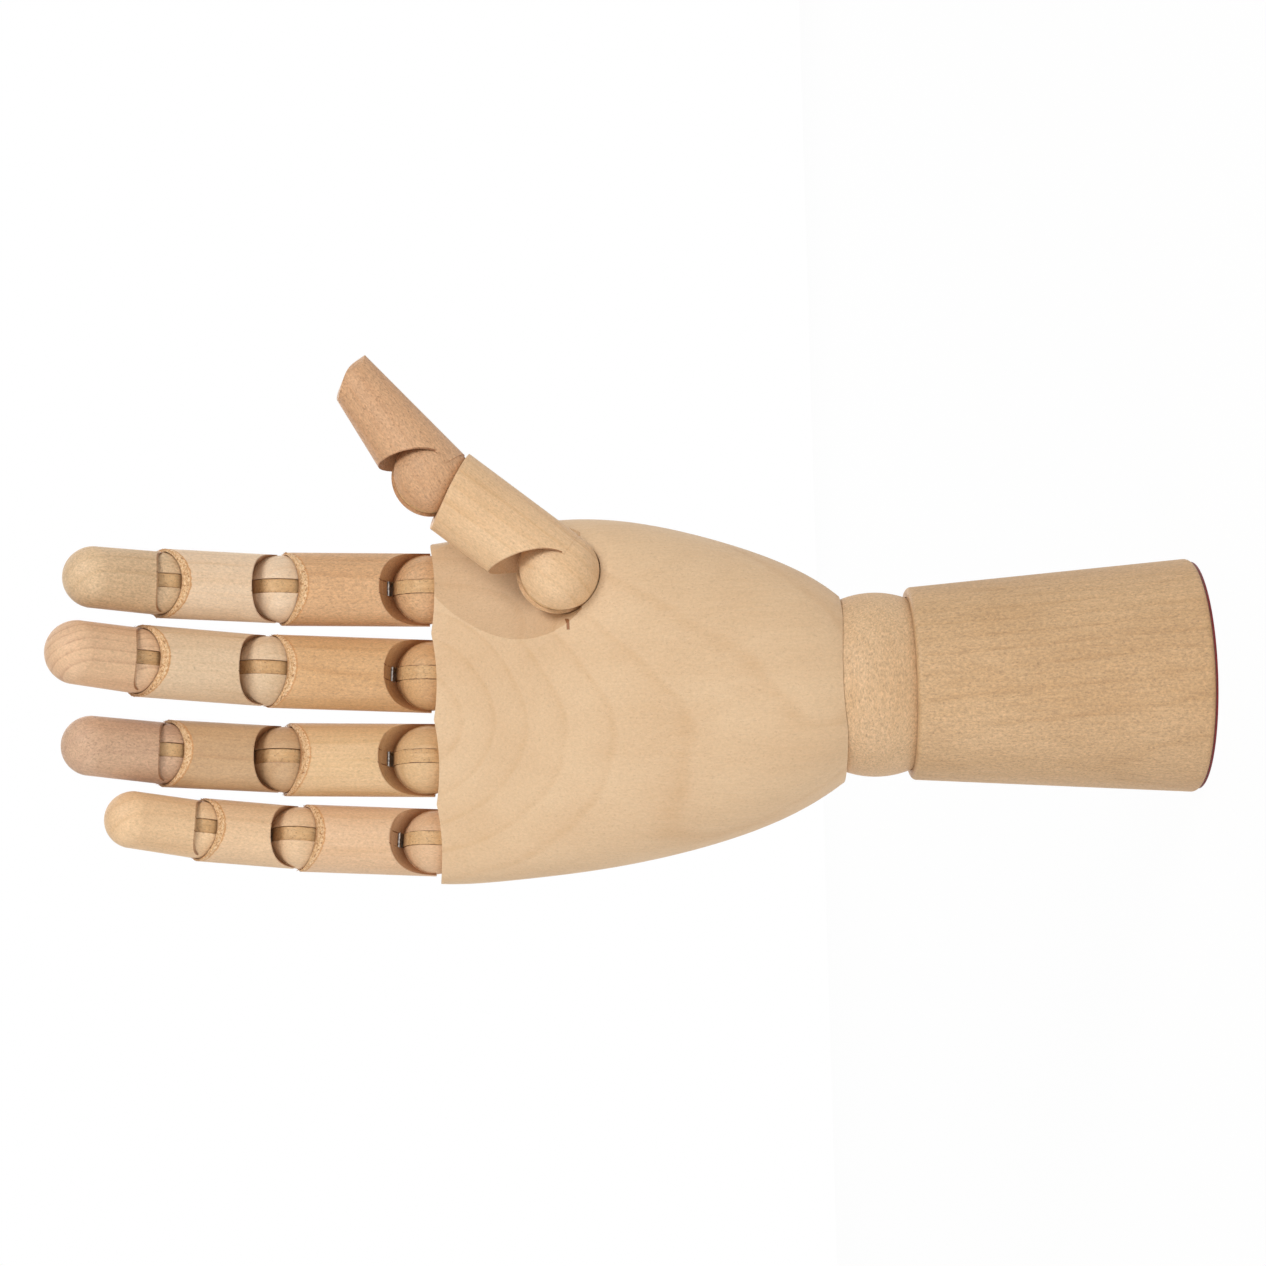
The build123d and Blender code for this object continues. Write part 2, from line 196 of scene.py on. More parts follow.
CLOUDS = Pattern((0.11, 0.11, 0.045))
RING_WANDER = Pattern((0.06, 0.06, 0.02))
RING_FADE = Pattern((0.5, 0.5, 0.06), 1.0)
FIBRES = Pattern((2.6, 2.6, 0.11), 3.0, 0.62)
NAP = Pattern((3.6, 3.6, 2.0), 2.0, 0.75)
PORES = Pattern((4.2, 4.2, 2.4), 1.0)
SEAM_BREAKS = Pattern((0.7, 0.7, 0.7), 1.0)
RIM_FUZZ = Pattern((2.6, 2.6, 1.6), 2.0, 0.7)
RIM_SPECKS = Pattern((3.0, 3.0, 3.0), 3.0, 0.8)

DRIFT_MM = (13.7, 7.1, 29.3)
ACROSS_GRAIN = (1, 1, 0)
LATE_WOOD = ((0.0, 0.0), (0.45, 0.08), (0.74, 0.34), (0.88, 1.0), (0.93, 0.85), (1.0, 0.0))
PORE_RANGE = (0.60, 0.72)
WAX_IOR = 1.5
ROUGH_SWING = 0.16
FIBRE_RELIEF = 0.5
PORE_RELIEF = 0.7
NAP_MM = 0.09

# Colour and box in mm of the painted shade where the thumb tongue's slot meets the palm.
SLIT_SHADE = "#91603b"
SLIT_SHADE_MM = {"X": (10.4, 0.8), "Y": (-9.0, 9.0), "Z": (13.5, 0.2)}
SEAM_RANGE = (0.36, 0.56)
TONGUE_SEAM = (0.07, "#7d5430")
SLOT_SEAM = (0.09, "#7a4c28")

TORN_TONES = ((0.34, "#8a5a36"), (0.42, "#c99a6a"), (0.52, "#deba8e"), (0.70, "#ecd0a8"))
# Dark tone and depths of the painted shade on the inner part of a torn rim's face, inside the cup.
CUP_SHADE = "#9c6b42"
CUP_SHADE_MM = (0.55, 1.25)
FUZZ_MM = 0.5
RIM_EDGE = "#c88f58"
RIM_EDGE_MM = (0.32, 0.14)
RIM_FACE_MM = (0.10, -0.04)

# Painted shade on a scoop's floor: its dark tone, how near the floor a point must be, how far out
# it reaches, and its strength next to the ball and at the far side.
SCOOP_SHADE = "#8f5a32"
SCOOP_NEAR_MM = 0.12
SCOOP_REACH = 1.35
SCOOP_SHADE_FADE = (0.95, 0.30)
BALL_MARGIN = 1.02


@dataclass(frozen=True)
class Hardwood:
    """Birch or beech, turned or milled, sanded and lightly waxed.

    The rings are faint warm lines, the fibres fine streaks along the grain, and the sanded nap
    gives a fine light and dark speckle with a few tiny dark pores.
    """

    name: str
    pale: str = "#ecd0ab"
    deep: str = "#c99c6d"
    ring_mm: float = 2.3
    ring: float = 0.30
    wander_mm: float = 1.6
    streak: float = 0.38
    cloud: float = 0.55
    speckle: float = 0.62
    pore: float = 0.10
    rough: float = 0.56
    nap: float = 0.55
    zone: Zone = Zone.PLAIN
    radius_mm: float = 5.0
    length_mm: float = 20.0
    rim: tuple[float, float] = (0.10, 0.214)
    relief: tuple[float, float] = (1.2, 0.6)
    ball: float = 0.985
    tongue_mm: float = 1.025

    def build(self, grain: Grain) -> bpy.types.Material:
        """Build the material for one piece.

        Args:
            grain: how the piece lies in its blank.

        Returns:
            The finished material.
        """
        material, tree = fresh_material(self.name)
        spot = wire(tree, "ShaderNodeTexCoord", out="Object")
        back = grain.place.inverted()
        turn = back.to_euler()
        mm = wire(
            tree,
            "ShaderNodeMapping",
            {
                "Vector": spot,
                "Location": tuple(c / MM for c in back.translation),
                "Rotation": tuple(turn),
                "Scale": (1 / MM, 1 / MM, 1 / MM),
            },
            vector_type="POINT",
        )
        drift = tuple(grain.seed * step for step in DRIFT_MM)
        moved = wire(tree, "ShaderNodeVectorMath", {0: mm, 1: drift}, operation="ADD")
        cloud = self._noise(tree, moved, CLOUDS)
        rings = self._rings(tree, mm, moved, grain.pith)
        streak = self._noise(tree, moved, FIBRES)
        fleck = self._noise(tree, moved, NAP)
        pores = self._pores(tree, moved)
        shade = wire(
            tree,
            "ShaderNodeMath",
            {0: cloud, 1: self.cloud, 2: 0.5 - self.cloud / 2},
            operation="MULTIPLY_ADD",
        )
        for part, share in ((streak, self.streak), (rings, self.ring)):
            lift = 0.5 if part is streak else 0.0
            centred = wire(tree, "ShaderNodeMath", {0: part, 1: lift}, operation="SUBTRACT")
            shade = wire(
                tree,
                "ShaderNodeMath",
                {0: centred, 1: share, 2: shade},
                operation="MULTIPLY_ADD",
                use_clamp=True,
            )
        colour = wire(
            tree,
            "ShaderNodeMix",
            {"Factor": shade, "A": linear(self.pale), "B": linear(self.deep)},
            out="Result",
            data_type="RGBA",
        )
        colour = self._zone(tree, mm, moved, colour)
        value = wire(
            tree,
            "ShaderNodeMath",
            {0: fleck, 1: self.speckle, 2: 1 - self.speckle / 2},
            operation="MULTIPLY_ADD",
        )
        value = wire(
            tree, "ShaderNodeMath", {0: pores, 1: -self.pore, 2: value}, operation="MULTIPLY_ADD"
        )
        colour = wire(tree, "ShaderNodeHueSaturation", {"Value": value, "Color": colour})
        rough = wire(
            tree,
            "ShaderNodeMath",
            {0: streak, 1: ROUGH_SWING, 2: self.rough - ROUGH_SWING / 2},
            operation="MULTIPLY_ADD",
        )
        height = wire(
            tree, "ShaderNodeMath", {0: streak, 1: FIBRE_RELIEF, 2: fleck}, operation="MULTIPLY_ADD"
        )
        height = wire(
            tree, "ShaderNodeMath", {0: pores, 1: -PORE_RELIEF, 2: height}, operation="MULTIPLY_ADD"
        )
        bump = wire(
            tree,
            "ShaderNodeBump",
            {"Strength": self.nap, "Distance": NAP_MM * MM, "Height": height},
            out="Normal",
        )
        surface = wire(
            tree,
            "ShaderNodeBsdfPrincipled",
            {"Base Color": colour, "Roughness": rough, "IOR": WAX_IOR, "Normal": bump},
        )
        wire(tree, "ShaderNodeOutputMaterial", {"Surface": surface})
        return material

    def _noise(
        self, tree: bpy.types.NodeTree, place: bpy.types.NodeSocket, pattern: Pattern
    ) -> bpy.types.NodeSocket:
        """Noise stretched along the grain.

        Args:
            tree: node tree.
            place: position in millimetres.
            pattern: how fine and how long its features are.

        Returns:
            Noise value, about 0.5 on average.
        """
        stretched = wire(
            tree, "ShaderNodeVectorMath", {0: place, 1: pattern.scale}, operation="MULTIPLY"
        )
        return wire(
            tree,
            "ShaderNodeTexNoise",
            {
                "Vector": stretched,
                "Scale": 1.0,
                "Detail": pattern.detail,
                "Roughness": pattern.roughness,
            },
        )

    def _rings(
        self,
        tree: bpy.types.NodeTree,
        mm: bpy.types.NodeSocket,
        moved: bpy.types.NodeSocket,
        pith: tuple[float, float],
    ) -> bpy.types.NodeSocket:
        """Growth rings about the pith: a slow rise, a narrow late line and a sharp end.

        Args:
            tree: node tree.
            mm: position in the piece's own frame.
            moved: the same with the piece's own drift, for the noise.
            pith: where the tree's centre line passes, across the grain.

        Returns:
            Strength of the ring line, from 0 to 1.
        """
        wander = self._noise(tree, moved, RING_WANDER)
        flat = wire(tree, "ShaderNodeVectorMath", {0: mm, 1: ACROSS_GRAIN}, operation="MULTIPLY")
        reach = wire(
            tree,
            "ShaderNodeVectorMath",
            {0: flat, 1: (*pith, 0)},
            out="Value",
            operation="DISTANCE",
        )
        reach = wire(
            tree,
            "ShaderNodeMath",
            {0: wander, 1: 2 * self.wander_mm, 2: reach},
            operation="MULTIPLY_ADD",
        )
        turns = wire(tree, "ShaderNodeMath", {0: reach, 1: self.ring_mm}, operation="DIVIDE")
        phase = wire(tree, "ShaderNodeMath", {0: turns}, operation="FRACT")
        line = wire(
            tree,
            "ShaderNodeValToRGB",
            {"Fac": phase},
            stops=LATE_WOOD,
        )
        uneven = self._noise(tree, moved, RING_FADE)
        return wire(tree, "ShaderNodeMath", {0: line, 1: uneven}, operation="MULTIPLY")

    def _pores(
        self, tree: bpy.types.NodeTree, place: bpy.types.NodeSocket
    ) -> bpy.types.NodeSocket:
        """Tiny dark open pores, a fifth of a millimetre wide.

        Args:
            tree: node tree.
            place: position in millimetres.

        Returns:
            1 in a pore and 0 beside it.
        """
        raw = self._noise(tree, place, PORES)
        low, high = PORE_RANGE
        return wire(
            tree, "ShaderNodeMapRange", {"Value": raw, "From Min": low, "From Max": high}
        )

    def _zone(
        self,
        tree: bpy.types.NodeTree,
        mm: bpy.types.NodeSocket,
        moved: bpy.types.NodeSocket,
        colour: bpy.types.NodeSocket,
    ) -> bpy.types.NodeSocket:
        """Tint the rims with painted shade on their inner faces, paint shade into the scoops and
        onto the palm's slit, or add the seams.

        Args:
            tree: node tree.
            mm: position in the piece's own frame.
            moved: the same with the piece's own drift.
            colour: colour of the plain wood.

        Returns:
            The tinted colour.
        """
        if self.zone is Zone.PLAIN:
            return colour
        parts = wire(tree, "ShaderNodeSeparateXYZ", {"Vector": mm}, out="X").node.outputs
        if self.zone is Zone.TONGUE:
            return self._seams(tree, parts, moved, colour, *TONGUE_SEAM)
        if self.zone is Zone.PALM:
            return self._slit(tree, parts, colour)
        if self.zone is Zone.RIM:
            colour = self._torn_rim(tree, mm, parts, moved, colour)
        return self._scoop(tree, mm, parts, moved, colour)

    def _slit(
        self,
        tree: bpy.types.NodeTree,
        parts: bpy.types.bpy_prop_collection,
        colour: bpy.types.NodeSocket,
    ) -> bpy.types.NodeSocket:
        """Short dark mark beside the thumb's seat: painted shade where the thumb tongue's slot
        meets the palm.

        Args:
            tree: node tree.
            parts: x, y and z of the position.
            colour: colour of the wood.

        Returns:
            The colour with the slit's painted shade.
        """
        # The box below is painted dark as the slit's shade.
        mark = None
        for axis, (middle, half) in SLIT_SHADE_MM.items():
            near = wire(
                tree, "ShaderNodeMath", {0: parts[axis], 1: middle, 2: half}, operation="COMPARE"
            )
            mark = (
                near
                if mark is None
                else wire(tree, "ShaderNodeMath", {0: mark, 1: near}, operation="MULTIPLY")
            )
        return wire(
            tree,
            "ShaderNodeMix",
            {"Factor": mark, "A": colour, "B": linear(SLIT_SHADE)},
            out="Result",
            data_type="RGBA",
        )

    def _seams(
        self,
        tree: bpy.types.NodeTree,
        parts: bpy.types.bpy_prop_collection,
        moved: bpy.types.NodeSocket,
        colour: bpy.types.NodeSocket,
        width_mm: float,
        dark: str,
    ) -> bpy.types.NodeSocket:
        """Dark seam lines at both sides of a tongue, broken where the joint is tight.

        Args:
            tree: node tree.
            parts: x, y and z of the position.
            moved: drifted position, for the noise.
            colour: colour of the wood.
            width_mm: width of a seam line.
            dark: the seam's colour.

        Returns:
            The colour with its seams.
        """
        side = wire(tree, "ShaderNodeMath", {0: parts["X"]}, operation="ABSOLUTE")
        off = wire(
            tree, "ShaderNodeMath", {0: side, 1: self.tongue_mm, 2: width_mm}, operation="COMPARE"
        )
        tight = self._noise(tree, moved, SEAM_BREAKS)
        low, high = SEAM_RANGE
        tight = wire(
            tree, "ShaderNodeMapRange", {"Value": tight, "From Min": low, "From Max": high}
        )
        off = wire(tree, "ShaderNodeMath", {0: off, 1: tight}, operation="MULTIPLY")
        return wire(
            tree,
            "ShaderNodeMix",
            {"Factor": off, "A": colour, "B": linear(dark)},
            out="Result",
            data_type="RGBA",
        )

    def _torn_rim(
        self,
        tree: bpy.types.NodeTree,
        mm: bpy.types.NodeSocket,
        parts: bpy.types.bpy_prop_collection,
        moved: bpy.types.NodeSocket,
        colour: bpy.types.NodeSocket,
    ) -> bpy.types.NodeSocket:
        """Fuzzy rim where the cup's thin edge has torn: light fibres and dark specks on its face,
        with painted shade on the face's inner part, towards the ball.

        Args:
            tree: node tree.
            mm: position in the piece's own frame.
            parts: x, y and z of the position.
            moved: drifted position, for the noise.
            colour: colour of the wood.

        Returns:
            The colour with its rim.
        """
        back_share, curve_share = self.rim
        top = self.length_mm + back_share * self.radius_mm
        lean = wire(
            tree,
            "ShaderNodeMath",
            {0: parts["Y"], 1: -1 / self.radius_mm, 2: 1.0},
            operation="MULTIPLY_ADD",
        )
        lean = wire(tree, "ShaderNodeMath", {0: lean, 1: 2.0}, operation="POWER")
        rim = wire(
            tree,
            "ShaderNodeMath",
            {0: lean, 1: -curve_share * self.radius_mm, 2: top},
            operation="MULTIPLY_ADD",
        )
        below = wire(tree, "ShaderNodeMath", {0: rim, 1: parts["Z"]}, operation="SUBTRACT")
        fuzz = self._noise(tree, moved, RIM_FUZZ)
        below = wire(
            tree, "ShaderNodeMath", {0: fuzz, 1: -FUZZ_MM, 2: below}, operation="MULTIPLY_ADD"
        )
        specks = self._noise(tree, moved, RIM_SPECKS)
        torn = wire(
            tree,
            "ShaderNodeValToRGB",
            {"Fac": specks},
            stops=tuple((place, linear(tone)) for place, tone in TORN_TONES),
        )
        flat = wire(tree, "ShaderNodeVectorMath", {0: mm, 1: ACROSS_GRAIN}, operation="MULTIPLY")
        reach = wire(tree, "ShaderNodeVectorMath", {0: flat}, out="Value", operation="LENGTH")
        # The face's inner part, nearer the axis, is mixed towards a dark tone: painted shade inside
        # the cup.
        outside, inside = (self.radius_mm - depth for depth in CUP_SHADE_MM)
        inner_shade = wire(
            tree, "ShaderNodeMapRange", {"Value": reach, "From Min": outside, "From Max": inside}
        )
        torn = wire(
            tree,
            "ShaderNodeMix",
            {"Factor": inner_shade, "A": torn, "B": linear(CUP_SHADE)},
            out="Result",
            data_type="RGBA",
        )
        low, high = RIM_EDGE_MM
        edge = wire(tree, "ShaderNodeMapRange", {"Value": below, "From Min": low, "From Max": high})
        colour = wire(
            tree,
            "ShaderNodeMix",
            {"Factor": edge, "A": colour, "B": linear(RIM_EDGE)},
            out="Result",
            data_type="RGBA",
        )
        low, high = RIM_FACE_MM
        face = wire(tree, "ShaderNodeMapRange", {"Value": below, "From Min": low, "From Max": high})
        return wire(
            tree,
            "ShaderNodeMix",
            {"Factor": face, "A": colour, "B": torn},
            out="Result",
            data_type="RGBA",
        )

    def _scoop(
        self,
        tree: bpy.types.NodeTree,
        mm: bpy.types.NodeSocket,
        parts: bpy.types.bpy_prop_collection,
        moved: bpy.types.NodeSocket,
        colour: bpy.types.NodeSocket,
    ) -> bpy.types.NodeSocket:
        """Painted shade in the scoop above a knuckle's ball, darkest next to the ball, and the
        slot's seams across it.

        Args:
            tree: node tree.
            mm: position in the piece's own frame.
            parts: x, y and z of the position.
            moved: drifted position, for the noise.
            colour: colour of the wood.

        Returns:
            The colour with its scoop.
        """
        size, shift = self.relief
        middle = (0.0, -shift * self.radius_mm, 0.0)
        reach = wire(
            tree, "ShaderNodeVectorMath", {0: mm, 1: middle}, out="Value", operation="DISTANCE"
        )
        floor = wire(
            tree,
            "ShaderNodeMath",
            {0: reach, 1: size * self.radius_mm, 2: SCOOP_NEAR_MM},
            operation="COMPARE",
        )
        off_pin = wire(tree, "ShaderNodeVectorMath", {0: mm}, out="Value", operation="LENGTH")
        # Painted shade, strongest next to the ball and fading outwards.
        shade_by_ball = wire(
            tree,
            "ShaderNodeMapRange",
            {
                "Value": off_pin,
                "From Min": self.ball * self.radius_mm,
                "From Max": SCOOP_REACH * self.radius_mm,
                "To Min": SCOOP_SHADE_FADE[0],
                "To Max": SCOOP_SHADE_FADE[1],
            },
        )
        clear = wire(
            tree,
            "ShaderNodeMath",
            {0: off_pin, 1: BALL_MARGIN * self.ball * self.radius_mm},
            operation="GREATER_THAN",
        )
        floor = wire(tree, "ShaderNodeMath", {0: floor, 1: clear}, operation="MULTIPLY")
        # The scoop floor is mixed towards the dark tone as painted shade.
        scoop_shade = wire(tree, "ShaderNodeMath", {0: floor, 1: shade_by_ball}, operation="MULTIPLY")
        tinted = wire(
            tree,
            "ShaderNodeMix",
            {"Factor": scoop_shade, "A": colour, "B": linear(SCOOP_SHADE)},
            out="Result",
            data_type="RGBA",
        )
        seamed = self._seams(tree, parts, moved, tinted, *SLOT_SEAM)
        return wire(
            tree,
            "ShaderNodeMix",
            {"Factor": floor, "A": colour, "B": seamed},
            out="Result",
            data_type="RGBA",
        )


@dataclass(frozen=True)
class DrawnSteel:
    """Drawn steel wire and turned steel, bright with fine lengthwise draw marks."""

    name: str = "drawn_steel_wire"
    tint: str = "#b4b3b0"
    dull: str = "#8d8c89"
    rough: float = 0.28
    swing: float = 0.2
    marks_per_m: float = 2600.0
    mark: float = 0.25
    mark_mm: float = 0.01

    def build(self) -> bpy.types.Material:
        """Build the material.

        Returns:
            The finished material.
        """
        material, tree = fresh_material(self.name)
        spot = wire(tree, "ShaderNodeTexCoord", out="Object")
        marks = wire(
            tree,
            "ShaderNodeTexNoise",
            {"Vector": spot, "Scale": self.marks_per_m, "Detail": 2.0, "Roughness": 0.6},
        )
        tone = wire(
            tree,
            "ShaderNodeValToRGB",
            {"Fac": marks},
            out="Color",
            stops=((0.3, linear(self.dull)), (0.7, linear(self.tint))),
        )
        rough = wire(
            tree,
            "ShaderNodeMath",
            {0: marks, 1: self.swing, 2: self.rough - self.swing / 2},
            operation="MULTIPLY_ADD",
        )
        bump = wire(
            tree,
            "ShaderNodeBump",
            {"Strength": self.mark, "Distance": self.mark_mm * MM, "Height": marks},
            out="Normal",
        )
        surface = wire(
            tree,
            "ShaderNodeBsdfPrincipled",
            {"Base Color": tone, "Metallic": 1.0, "Roughness": rough, "Normal": bump},
        )
        wire(tree, "ShaderNodeOutputMaterial", {"Surface": surface})
        return material


@dataclass(frozen=True)
class PressedFelt:
    """Thin pressed wool felt, dark red, matt with short fibres lying every way."""

    name: str = "pressed_wool_felt"
    pale: str = "#8e2a2c"
    deep: str = "#561416"
    fibres_per_m: float = 1900.0
    curl: float = 1.4
    rough: float = 0.95
    sheen: float = 0.35
    fuzz: float = 0.7
    fuzz_mm: float = 0.12

    def build(self) -> bpy.types.Material:
        """Build the material.

        Returns:
            The finished material.
        """
        material, tree = fresh_material(self.name)
        spot = wire(tree, "ShaderNodeTexCoord", out="Object")
        fibres = wire(
            tree,
            "ShaderNodeTexNoise",
            {
                "Vector": spot,
                "Scale": self.fibres_per_m,
                "Detail": 4.0,
                "Roughness": 0.75,
                "Distortion": self.curl,
            },
        )
        tone = wire(
            tree,
            "ShaderNodeValToRGB",
            {"Fac": fibres},
            stops=((0.32, linear(self.deep)), (0.68, linear(self.pale))),
        )
        bump = wire(
            tree,
            "ShaderNodeBump",
            {"Strength": self.fuzz, "Distance": self.fuzz_mm * MM, "Height": fibres},
            out="Normal",
        )
        surface = wire(
            tree,
            "ShaderNodeBsdfPrincipled",
            {
                "Base Color": tone,
                "Roughness": self.rough,
                "Sheen Weight": self.sheen,
                "Normal": bump,
            },
        )
        wire(tree, "ShaderNodeOutputMaterial", {"Surface": surface})
        return material


@dataclass
class FibreFringe:
    """Torn fibres that stand on the rim of a phalanx's cup, over the next ball."""

    name: str
    body: str
    bone: Bone
    radius_mm: float
    rim: tuple[float, float]
    count: int = 70
    fibre_mm: float = 0.55
    thick_mm: float = 0.09
    tip_mm: float = 0.02
    inset_mm: float = 0.12
    spread: float = 0.4
    lean: float = 0.7
    ragged_mm: tuple[float, float] = (-0.12, 0.16)
    stretch: tuple[float, float] = (0.5, 1.3)
    seed: int = 1

    def build(self, finish: bpy.types.Material) -> bpy.types.Object:
        """Model one hooked fibre, copy it round the rim and join the copies.

        Args:
            finish: wood of the fibres.

        Returns:
            The fringe as one piece.
        """
        fibre = self._fibre()
        chance = random.Random(self.seed)
        back_share, curve_share = self.rim
        top = self.bone.length / MM
        reach = self.radius_mm - self.inset_mm
        copies = []
        for step in range(self.count):
            turn = 2 * math.pi * (step + chance.uniform(-self.spread, self.spread)) / self.count
            across = math.sin(turn)
            height = top + self.radius_mm * (back_share - curve_share * (1 - across) ** 2)
            height += chance.uniform(*self.ragged_mm)
            spot = Vector((reach * math.cos(turn), reach * across, height))
            lean = Matrix.Rotation(chance.uniform(-self.lean, self.lean), 4, "X")
            lean = lean @ Matrix.Rotation(chance.uniform(-self.lean, self.lean), 4, "Y")
            size = Matrix.Diagonal((1, 1, chance.uniform(*self.stretch), 1))
            copy = bpy.data.objects.new(self.name, fibre.data.copy())
            bpy.context.collection.objects.link(copy)
            copy.data.transform(self.bone.matrix @ Matrix.Translation(spot * MM) @ lean @ size)
            copies.append(copy)
        bpy.data.objects.remove(fibre)
        bpy.ops.object.select_all(action="DESELECT")
        for copy in copies:
            copy.select_set(True)
        bpy.context.view_layer.objects.active = copies[0]
        bpy.ops.object.join()
        fringe = bpy.context.object
        fringe.name = self.name
        dress(fringe, finish)
        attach(fringe, self.body)
        return fringe

    def _fibre(self) -> bpy.types.Object:
        """Model one fibre: a thin spike whose upper half is pulled aside into a hook.

        Returns:
            The fibre, upright at the origin.
        """
        bpy.ops.object.select_all(action="DESELECT")
        bpy.ops.mesh.primitive_cone_add(
            vertices=4,
            radius1=self.thick_mm * MM,
            radius2=self.tip_mm * MM,
            depth=self.fibre_mm * MM,
        )
        fibre = bpy.context.object
        bpy.ops.object.mode_set(mode="EDIT")
        bpy.ops.mesh.subdivide(number_cuts=1)
        bpy.ops.mesh.select_all(action="DESELECT")
        bpy.ops.object.mode_set(mode="OBJECT")
        for corner in fibre.data.vertices:
            corner.select = corner.co.z > self.fibre_mm * MM / 4
        bpy.ops.object.mode_set(mode="EDIT")
        bpy.ops.transform.translate(value=(self.thick_mm * MM, 0, 0))
        bpy.ops.object.mode_set(mode="OBJECT")
        return fibre


PHALANX_PITH = (9.0, 16.0)
PITH_STEP = (3, -5)
TONGUE_PITH = (3.0, 30.0)
TONGUE_SEED = 5


@dataclass
class Digit:
    """One finger, or the thumb: phalanges, tongues and torn rims."""

    name: str
    bones: list[Bone]
    parts: tuple[str, ...]
    radii_mm: tuple[float, ...]
    woods: tuple[Hardwood, ...]
    tongues: dict[str, int]
    tongue_wood: Hardwood
    seed: float
    rims: tuple[tuple[float, float], ...]
    reliefs: tuple[tuple[float, float], ...]
    balls: tuple[float, ...]
    fringed: bool = True

    def build(self, nodes: dict[str, bpy.types.Object]) -> None:
        """Dress the digit's nodes and add its fringes.

        Args:
            nodes: the CAD nodes by name.
        """
        for i, part in enumerate(self.parts):
            bone = self.bones[i]
            last = i == len(self.parts) - 1
            wood = replace(
                self.woods[i],
                name=f"{self.name}_{part}_wood",
                zone=Zone.RIM if self.fringed and not last else Zone.TIP,
                radius_mm=self.radii_mm[i],
                length_mm=bone.length / MM,
                rim=self.rims[min(i, len(self.rims) - 1)],
                relief=self.reliefs[i],
                ball=self.balls[i],
            )
            pith = (
                PHALANX_PITH[0] + PITH_STEP[0] * i,
                PHALANX_PITH[1] + PITH_STEP[1] * i + self.seed,
            )
            finish = wood.build(Grain(bone.matrix, pith, self.seed + i))
            dress(nodes[f"{self.name}_{part}"], finish)
            if self.fringed and not last:
                self._fringe(i, bone, part)
        for tongue, i in self.tongues.items():
            wood = replace(self.tongue_wood, name=f"{self.name}_{tongue}_strip", zone=Zone.TONGUE)
            grain = Grain(self.bones[i].matrix, TONGUE_PITH, self.seed + TONGUE_SEED + i)
            finish = wood.build(grain)
            dress(nodes[f"{self.name}_{tongue}"], finish)

    def _fringe(self, i: int, bone: Bone, part: str) -> None:
        """Add the torn fibres of one rim.

        Args:
            i: number of the phalanx.
            bone: its frame.
            part: its name.
        """
        wood = Hardwood(name=f"{self.name}_{part}_torn_fibre", pale="#edc796", deep="#b98149")
        fringe = FibreFringe(
            name=f"{self.name}_{part}_fringe",
            body=f"{self.name}_{part}",
            bone=bone,
            radius_mm=self.radii_mm[i],
            rim=self.rims[i],
            seed=int(10 * self.seed) + i,
        )
        fringe.build(wood.build(Grain(bone.matrix, PHALANX_PITH, self.seed)))


@dataclass
class PalmBlock:
    """Palm block, cut flat-sawn so that its face shows faint arched rings."""

    wood: Hardwood
    pith: tuple[float, float] = (-3.0, 12.0)
    height_mm: float = 83.0
    tilt_deg: float = 15.0
    seed: float = 2.0

    def build(self, nodes: dict[str, bpy.types.Object]) -> None:
        """Dress the palm.

        Args:
            nodes: the CAD nodes by name.
        """
        lift = Matrix.Translation((0, 0, self.height_mm * MM))
        place = lift @ Matrix.Rotation(math.radians(self.tilt_deg), 4, "X")
        dress(nodes["palm"], self.wood.build(Grain(place, self.pith, self.seed)))


@dataclass
class Wrist:
    """Wrist ball, forearm and the felt under it."""

    ball_wood: Hardwood
    forearm_wood: Hardwood
    centre_mm: float = 47.8
    ball_pith: tuple[float, float] = (40.0, 30.0)
    ball_seed: float = 7.0
    forearm_pith: tuple[float, float] = (38.0, 30.0)
    forearm_seed: float = 4.0
    felt: PressedFelt = field(default_factory=PressedFelt)

    def build(self, nodes: dict[str, bpy.types.Object]) -> None:
        """Dress the ball, the forearm and the base pad.

        Args:
            nodes: the CAD nodes by name.
        """
        centre = Matrix.Translation((0, 0, self.centre_mm * MM))
        across = centre @ Matrix.Rotation(math.pi / 2, 4, "Y")
        ball = Grain(across, self.ball_pith, self.ball_seed)
        forearm = Grain(Matrix.Identity(4), self.forearm_pith, self.forearm_seed)
        dress(nodes["wrist_ball"], self.ball_wood.build(ball))
        dress(nodes["forearm"], self.forearm_wood.build(forearm))
        dress(nodes["base_pad"], self.felt.build())


@dataclass(frozen=True)
class Lamp:
    """Square softbox: where it hangs and its side in metres, and its power in watts."""

    name: str
    place: tuple[float, float, float]
    side: float
    watts: float


LAMPS = (
    Lamp("key_lamp", (0.40, -0.62, 0.50), 0.30, 3.7),
    Lamp("fill_lamp", (-0.62, -0.40, 0.05), 0.8, 4.2),
    Lamp("back_lamp", (0.15, 0.60, 0.45), 0.6, 1.6),
)
WHITE = (1, 1, 1, 1)


